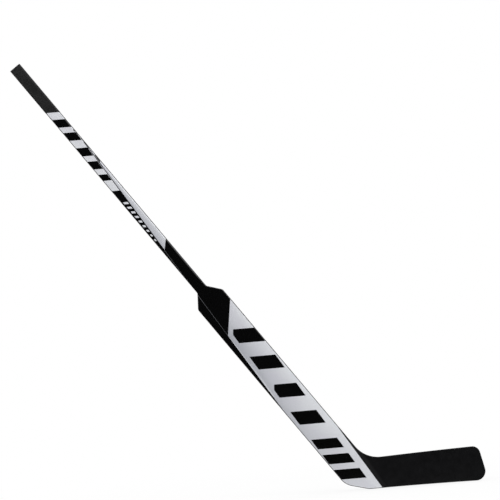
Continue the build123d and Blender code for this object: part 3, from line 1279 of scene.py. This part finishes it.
@dataclass(frozen=True)
class PearlSilver(Finish):
    """Silver paint with fine flake, a cool pearl tone and a thin clear coat."""

    dark: Colour = (0.39, 0.40, 0.445)
    pale: Colour = (0.82, 0.834, 0.868)
    violet: Colour = (0.60, 0.59, 0.67)
    metallic: float = 0.2
    coat: float = 0.35

    def feeds(self, bench: Bench) -> Feeds:
        """Silver with painted shade and light from the shade mark, soft clouds, and flakes of uneven
        brightness.

        Args:
            bench: Bench to build on.

        Returns:
            The main shader's feeds.
        """
        sheet, place = bench.sheet, bench.place
        clouds = sheet.noise(sheet.stretch(place, (5.0, 16.0, 16.0)), 1.0, 2.0)
        # The shade mark paints shade and light into the silver's colour.
        drift = sheet.maths("ADD", sheet.mark("shade"), sheet.span(clouds, 0.3, 0.7, -0.06, 0.06))
        tone = sheet.blend(drift, self.dark, self.pale)
        tint = sheet.noise(sheet.stretch(place, (9.0, 30.0, 30.0)), 1.0, 1.0)
        tone = sheet.blend(sheet.span(tint, 0.45, 0.7, 0.0, 0.35), tone, self.violet)
        flakes = sheet.add("ShaderNodeTexVoronoi", {"Scale": 1500.0, "Vector": place}, feature="F1")
        glint = sheet.add("ShaderNodeSeparateXYZ", {0: flakes.outputs["Color"]}).outputs["X"]
        spark = sheet.span(glint, 0.0, 1.0, 0.94, 1.06)
        bright = sheet.add("ShaderNodeHueSaturation", {"Value": spark, "Color": tone})
        _, surface = bench.sprayed(0.36, 0.06, 420.0, 0.00002)
        gloss = {"Metallic": self.metallic, "Coat Weight": self.coat, "Coat Roughness": 0.12}
        return {"Base Color": bright.outputs["Color"], **surface, **gloss}


@dataclass(frozen=True)
class SprayedColour(Finish):
    """Plain sprayed paint, from gloss to satin, with dust specks in it."""

    colour: Colour
    speck: Colour
    smooth: float
    spread: float
    coat: float
    gloss: float = 0.5

    def feeds(self, bench: Bench) -> Feeds:
        """Colour with specks under a thin clear coat.

        Args:
            bench: Bench to build on.

        Returns:
            The main shader's feeds.
        """
        dust, surface = bench.sprayed(self.smooth, self.spread, 380.0, 0.00002)
        gloss = {"Specular IOR Level": self.gloss, "Coat Weight": self.coat, "Coat Roughness": 0.08}
        return {"Base Color": bench.sheet.blend(dust, self.colour, self.speck), **surface, **gloss}


@dataclass(frozen=True)
class WovenSatin(Finish):
    """Satin black over woven cloth, whose tows show through the paint."""

    colour: Colour
    tow: Colour
    weave: float = 170.0
    relief: float = 0.00004
    gloss: float = 0.07

    def feeds(self, bench: Bench) -> Feeds:
        """Colour that is paler on the tows, and their relief.

        Args:
            bench: Bench to build on.

        Returns:
            The main shader's feeds.
        """
        sheet = bench.sheet
        cloth = bench.use(bench.effects.weave, Scale=self.weave)
        return {
            "Base Color": sheet.blend(cloth["Tone"], self.colour, self.tow),
            "Roughness": bench.use(bench.effects.rub, Smooth=0.38, Spread=0.07)["Roughness"],
            "Normal": sheet.bump(cloth["Height"], self.relief),
            "Specular IOR Level": self.gloss,
        }


@dataclass(frozen=True)
class GripRubber(Finish):
    """Matte, slightly mottled rubbery coat of the grip."""

    dark: Colour = (0.007, 0.0071, 0.0073)
    worn: Colour = (0.017, 0.0173, 0.0177)

    def feeds(self, bench: Bench) -> Feeds:
        """Patches and fine mottling in tone, roughness and relief.

        Args:
            bench: Bench to build on.

        Returns:
            The main shader's feeds.
        """
        sheet = bench.sheet
        patches = sheet.noise(bench.place, 55.0, 4.0)
        fine = sheet.noise(bench.place, 900.0, 2.0)
        share = sheet.maths("MULTIPLY", sheet.span(patches, 0.35, 0.65, 0.2, 1.0), fine)
        return {
            "Base Color": sheet.blend(share, self.dark, self.worn),
            "Roughness": sheet.span(patches, 0.3, 0.7, 0.55, 0.72),
            "Normal": sheet.bump(fine, 0.00012),
        }


@dataclass(frozen=True)
class Timber(Finish):
    """Bare timber with its rings round an axis that runs up the stick, or along it once turned."""

    early: Colour
    late: Colour
    rings: float
    heart: Triple = (0.0, 0.03, 0.02)
    turn: float = 0.0

    def feeds(self, bench: Bench) -> Feeds:
        """Rings and pores round the heart.

        Args:
            bench: Bench to build on.

        Returns:
            The main shader's feeds.
        """
        place = bench.sheet.turn(bench.place, (0, self.turn, 0), self.heart)
        grain = bench.use(
            bench.effects.grain, Place=place, Rings=self.rings, Early=self.early, Late=self.late
        )
        return {
            "Base Color": grain["Colour"],
            "Roughness": grain["Roughness"],
            "Normal": bench.sheet.bump(grain["Height"], 0.00008),
        }


@dataclass(frozen=True)
class RigidFoam(Finish):
    """Closed-cell foam of the cores."""

    cell: Colour = (0.72, 0.66, 0.50)
    wall: Colour = (0.86, 0.82, 0.70)

    def feeds(self, bench: Bench) -> Feeds:
        """Cells with paler walls that stand up.

        Args:
            bench: Bench to build on.

        Returns:
            The main shader's feeds.
        """
        sheet = bench.sheet
        inputs = {"Scale": 900.0, "Vector": bench.place}
        cells = sheet.add("ShaderNodeTexVoronoi", inputs, feature="DISTANCE_TO_EDGE")
        wall = sheet.span(cells.outputs["Distance"], 0.0, 0.25, 1.0, 0.0)
        return {
            "Base Color": sheet.blend(wall, self.cell, self.wall),
            "Roughness": sheet.span(wall, 0, 1, 0.9, 0.75),
            "Normal": sheet.bump(wall, 0.0002),
        }


@dataclass(frozen=True)
class ResinCloth(Finish):
    """Reinforcing sheet: woven cloth set in resin."""

    resin: Colour
    tow: Colour
    weave: float

    def feeds(self, bench: Bench) -> Feeds:
        """Tows that show and stand up through the resin.

        Args:
            bench: Bench to build on.

        Returns:
            The main shader's feeds.
        """
        sheet = bench.sheet
        cloth = bench.use(bench.effects.weave, Scale=self.weave)
        return {
            "Base Color": sheet.blend(cloth["Height"], self.resin, self.tow),
            "Roughness": sheet.span(cloth["Tone"], 0, 1, 0.3, 0.5),
            "Normal": sheet.bump(cloth["Height"], 0.00006),
        }


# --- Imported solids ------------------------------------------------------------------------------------
@dataclass
class Core:
    """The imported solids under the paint, each in the stuff it is made of."""

    effects: Effects
    birch: tuple[Colour, Colour] = ((0.64, 0.46, 0.28), (0.40, 0.24, 0.12))
    glass: ResinCloth = ResinCloth("glass_laminate", (0.34, 0.33, 0.25), (0.58, 0.57, 0.47), 200.0)
    carbon: ResinCloth = ResinCloth("carbon_laminate", (0.012, 0.012, 0.013), (0.05, 0.05, 0.053), 160.0)

    def finishes(self) -> dict[Finish, tuple[str, ...]]:
        """Nodes that each finish dresses.

        Returns:
            Names of nodes, by finish.
        """
        along_blade = math.radians(-125.2)
        aspen = Timber("aspen_ply", (0.70, 0.56, 0.38), (0.50, 0.35, 0.20), 50.0)
        heel_ply = Timber("birch_heel_ply", (0.66, 0.48, 0.29), (0.42, 0.25, 0.12), 80.0, (0, 0.05, -0.04))
        toe_ply = Timber("birch_toe_ply", (0.64, 0.47, 0.29), (0.42, 0.26, 0.13), 80.0, (0.3, -0.06, 0.05))
        paddle = Timber("paddle_birch", *self.birch, 70.0, (0.1, 0.04, 0.09))
        blade = Timber("blade_birch", *self.birch, 70.0, (0.1, 0.04, 0.02), along_blade)
        sides = ("heel_side", "toe_side")
        skins = [f"{part}_{face}_laminate" for part in ("shaft", "paddle") for face in ("front", "back")]
        return {
            aspen: ("shaft_core_ply",),
            heel_ply: ("shaft_heel_side_ply",),
            toe_ply: ("shaft_toe_side_ply",),
            paddle: (
                *(f"paddle_{side}_shoulder" for side in sides),
                *(f"paddle_{side}_edge_strip" for side in sides),
                "heel_block",
            ),
            blade: ("blade_runner", "blade_top_strip", "blade_toe_band"),
            RigidFoam("rigid_foam"): (
                *(f"paddle_{side}_core" for side in sides),
                "blade_lower_core",
                "blade_upper_core",
            ),
            self.glass: tuple(skins),
            self.carbon: ("blade_front_laminate", "blade_back_laminate", "blade_rib"),
        }

    def dress(self) -> None:
        """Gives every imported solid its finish."""
        for finish, names in self.finishes().items():
            material = finish.material(self.effects)
            for name in names:
                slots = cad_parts[name].data.materials
                slots.clear()
                slots.append(material)
            LOG.info("%s: %s", finish.name, ", ".join(names))


# --- Studio -------------------------------------------------------------------------------------------
@dataclass(frozen=True)
class Softbox:
    """Square area light, aimed at the middle of the stick."""

    name: str
    place: Triple
    power: float
    size: float = 3.0

    def build(self, target: Vector) -> None:
        """Hangs the light.

        Args:
            target: Point that it faces.
        """
        light = bpy.data.lights.new(self.name, "AREA")
        light.shape = "SQUARE"
        light.size = self.size
        light.energy = self.power
        holder = bpy.data.objects.new(self.name, light)
        holder.location = self.place
        holder.rotation_euler = (target - Vector(self.place)).to_track_quat("-Z", "Y").to_euler()
        bpy.context.scene.collection.objects.link(holder)


@dataclass
class Studio:
    """White floor and surround, soft lights, and a far camera with a long lens.

    What shines sees a white surround with a dim window before and behind the stick, so that black paint
    stays black.
    """

    middle: Triple = (-0.2618, 0.0, 0.6574)
    width: float = 1.325
    lens: float = 300.0
    sensor: float = 36.0
    roll: float = math.radians(4.92)
    around: float = 0.85
    mirrored: float = 1.0
    window: float = 0.02
    window_axis: Triple = (0.15, 0.989, 0.0)
    window_facing: Point = (0.35, 0.75)
    window_depth: Point = (0.02, 0.25)
    shadow_fade: Point = (0.8, 1.6)
    shadow_lift: float = 0.8
    floor_reach: float = 90.0
    floor_level: float = -0.0004
    lights: tuple[Softbox, ...] = (
        Softbox("key_right", (2.9, -2.1, 2.5), 44.0),
        Softbox("fill_left", (-3.2, -1.9, 2.2), 30.0),
        Softbox("back_right", (3.0, 2.2, 2.2), 30.0),
        Softbox("back_left", (-3.2, 2.0, 2.4), 40.0),
    )

    def camera(self) -> None:
        """Camera square to the front face, far off, rolled a little clockwise."""
        data = bpy.data.cameras.new("camera")
        data.lens, data.sensor_width = self.lens, self.sensor
        data.clip_start, data.clip_end = 0.1, 400.0
        holder = bpy.data.objects.new("camera", data)
        bpy.context.scene.collection.objects.link(holder)
        right = Vector((math.cos(self.roll), 0, -math.sin(self.roll)))
        up = Vector((math.sin(self.roll), 0, math.cos(self.roll)))
        back = Vector((0, -1, 0))
        place = Vector(self.middle) + back * (self.width * self.lens / self.sensor)
        turn = Matrix((right, up, back)).transposed()
        holder.matrix_world = Matrix.Translation(place) @ turn.to_4x4()
        bpy.context.scene.camera = holder

    def surround(self) -> None:
        """White world, with its dim window."""
        world = bpy.data.worlds.new("surround")
        world.use_nodes = True
        world.node_tree.nodes.clear()
        bpy.context.scene.world = world
        sheet = NodeSheet(world.node_tree)
        ray = sheet.add("ShaderNodeTexCoord").outputs["Generated"]
        facing = sheet.add("ShaderNodeVectorMath", {0: ray, 1: self.window_axis}, operation="DOT_PRODUCT")
        either = sheet.maths("ABSOLUTE", facing.outputs["Value"])
        shine = sheet.span(either, *self.window_facing, self.mirrored, self.window)
        white = (1.0, 1.0, 1.0)
        skies = [
            sheet.add("ShaderNodeBackground", {"Color": white, "Strength": strength}).outputs[0]
            for strength in (1.0, shine, self.around)
        ]
        sheet.add("ShaderNodeOutputWorld", {"Surface": sheet.by_ray(*skies)})

    def floor_material(self) -> bpy.types.Material:
        """White floor that keeps a soft shadow near the stick and is plain white further off.

        Returns:
            The material.
        """
        material = bpy.data.materials.new("white_floor")
        material.use_nodes = True
        material.node_tree.nodes.clear()
        sheet = NodeSheet(material.node_tree)
        place = sheet.add("ShaderNodeTexCoord").outputs["Object"]
        below = (self.middle[0], 0, self.floor_level)
        distance = sheet.add("ShaderNodeVectorMath", {0: place, 1: below}, operation="DISTANCE")
        far = sheet.span(distance.outputs["Value"], *self.shadow_fade, 0.0, 1.0)
        depth = sheet.maths("ABSOLUTE", sheet.add("ShaderNodeSeparateXYZ", {0: place}).outputs["Y"])
        matt = sheet.add("ShaderNodeBsdfDiffuse", {"Color": (0.82, 0.82, 0.82)}).outputs[0]
        glow = sheet.add("ShaderNodeEmission", {"Strength": 1.0}).outputs[0]
        shine = sheet.span(depth, *self.window_depth, self.mirrored, self.window)
        mirror = sheet.add("ShaderNodeEmission", {"Strength": shine}).outputs[0]
        seen = sheet.mix(far, sheet.mix(self.shadow_lift, matt, glow), glow)
        sheet.add("ShaderNodeOutputMaterial", {"Surface": sheet.by_ray(seen, mirror, matt)})
        return material

    def floor(self) -> None:
        """Lays the floor."""
        mesh = bpy.data.meshes.new("floor")
        ways = ((-1, -1), (1, -1), (1, 1), (-1, 1))
        corners = [(x * self.floor_reach, y * self.floor_reach, self.floor_level) for x, y in ways]
        mesh.from_pydata(corners, [], [(0, 1, 2, 3)])
        mesh.materials.append(self.floor_material())
        floor = bpy.data.objects.new("floor", mesh)
        bpy.context.scene.collection.objects.link(floor)

    def build(self) -> None:
        """Sets up the whole studio."""
        self.camera()
        self.surround()
        self.floor()
        for light in self.lights:
            light.build(Vector(self.middle))
        bpy.context.scene.view_settings.view_transform = "Standard"


# --- Whole scene --------------------------------------------------------------------------------------
def paint_shop(effects: Effects) -> dict[Paint, bpy.types.Material]:
    """Material of each paint in the livery."""
    black, grey = (0.0012, 0.0012, 0.0014), (0.09, 0.092, 0.10)
    satin, tow = (0.0026, 0.0026, 0.0029), (0.026, 0.026, 0.028)
    finishes = {
        Paint.BLACK: SprayedColour("gloss_black", black, (0.01,) * 3, 0.2, 0.05, coat=0.1, gloss=0.35),
        Paint.SILVER: PearlSilver("pearl_silver"),
        Paint.GREY: SprayedColour("grey_edge_line", grey, (0.12,) * 3, 0.28, 0.05, coat=0.3),
        Paint.SATIN: WovenSatin("blade_satin_black", satin, tow),
    }
    return {paint: finish.material(effects) for paint, finish in finishes.items()}


def main() -> None:
    """Builds and dresses every part, then the studio."""
    logging.basicConfig(level=logging.INFO, format="%(name)s: %(message)s")
    plan = StickPlan()
    effects = Effects(plan)
    Core(effects).dress()
    grip_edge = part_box("grip_sleeve")[0].z / MM
    PaintCoats(OuterForm(plan), Livery(plan, grip_edge)).build(paint_shop(effects))
    GripSleeve(plan, grip_edge).build(GripRubber("grip_rubber").material(effects))
    Studio().build()


if __name__ == "__main__":
    main()
